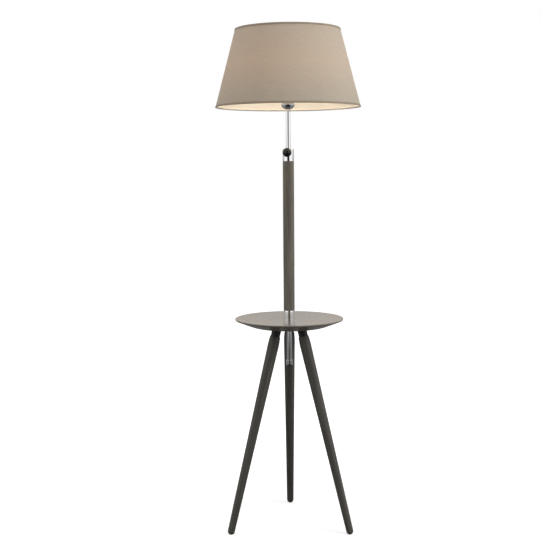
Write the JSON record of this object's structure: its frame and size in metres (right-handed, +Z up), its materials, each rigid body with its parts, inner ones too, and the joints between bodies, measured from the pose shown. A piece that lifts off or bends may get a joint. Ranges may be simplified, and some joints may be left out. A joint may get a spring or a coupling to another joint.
{
  "type": "floor lamp with table",
  "caption": "Standing lamp on turned splayed legs with a round table part-way up, a wooden column, a sliding chrome stem with a ball clamp knob, and a conical fabric shade.",
  "frame": {"origin": "on the floor, on the lamp's centre line, half way between the feet", "axes": "+Z up along the column and stem; -Y to the front, the side with the clamping knob; +X to the right seen from the front"},
  "size_m": [0.4499, 0.45, 1.558],
  "materials": {
    "leg_wood": "satin stain, close grain",
    "column_wood": "satin stain, upright grain",
    "table_lacquer": "silk gloss lacquer, grey-brown",
    "chrome": "polished",
    "steel": "zinc plated",
    "brass": "plain",
    "black_plastic": "matt",
    "knob_plastic": "gloss",
    "bush_plastic": "matt",
    "white_plastic": "semi gloss",
    "ceramic": "unglazed",
    "nickel": "plain",
    "opal_glass": "frosted",
    "bulb_light": "lit",
    "shade_fabric": "plain linen weave",
    "shade_trim": "folded tape",
    "shade_lining": "matt film",
    "white_wire": "powder coat"
  },
  "bodies": {
    "stand": {"leg_left": "leg_wood", "leg_right": "leg_wood", "leg_rear": "leg_wood", "leg_collar_left": "black_plastic", "leg_collar_right": "black_plastic", "leg_collar_rear": "black_plastic", "leg_rods": "steel", "leg_inserts": "brass", "table_top": "table_lacquer", "lower_ferrule": "chrome", "column": "column_wood", "upper_ferrule": "chrome", "liner_tube": "steel", "liner_washer": "steel", "liner_nut": "steel", "upper_guide_bush": "bush_plastic", "lower_guide_bush": "bush_plastic"},
    "pad": {"pressure_pad": "brass"},
    "knob": {"clamping_screw": "steel", "ball_knob": "knob_plastic"},
    "stem": {"stem_tube": "chrome", "stop_collar": "chrome", "stop_screw": "steel", "cord_bush": "black_plastic", "stem_top_bush": "brass", "nipple": "steel", "lock_nut": "steel", "cup": "chrome", "lampholder_cap": "white_plastic", "lampholder_sleeve": "white_plastic", "contact_block": "ceramic", "centre_contact": "brass", "threaded_shell": "brass", "shade_ring_nut": "white_plastic", "bulb_cap": "nickel", "bulb_glass": "opal_glass", "bulb_light": "bulb_light"},
    "shade": {"shade_cover": "shade_fabric", "shade_lining": "shade_lining", "shade_bottom_trim": "shade_trim", "shade_top_trim": "shade_trim", "shade_bottom_ring": "white_wire", "shade_top_ring": "white_wire", "shade_frame_ring": "white_wire", "shade_arm_left": "white_wire", "shade_arm_right": "white_wire", "shade_arm_rear": "white_wire"}
  },
  "joints": [
    {"name": "stem_slide", "type": "slide", "parent": "stand", "child": "stem", "axis": [0, 0, 1], "range_m": [-0.12, 0.092]},
    {"name": "pad_travel", "type": "slide", "parent": "stand", "child": "pad", "axis": [-0.1219, -0.9925, 0], "range_m": [0, 0.003]},
    {"name": "knob_turn", "type": "hinge", "parent": "pad", "child": "knob", "pos_m": [0, 0, 1.181], "axis": [-0.1219, -0.9925, 0], "range_deg": [0, 1080]},
    {"name": "shade_turn", "type": "hinge", "parent": "stem", "child": "shade", "pos_m": [0, 0, 1.348], "axis": [0, 0, 1], "range_deg": [-180, 180]}
  ],
  "couplings": [
    {"joint": "knob_turn", "follows": "pad_travel", "rad_per_m": 6282.6}
  ]
}
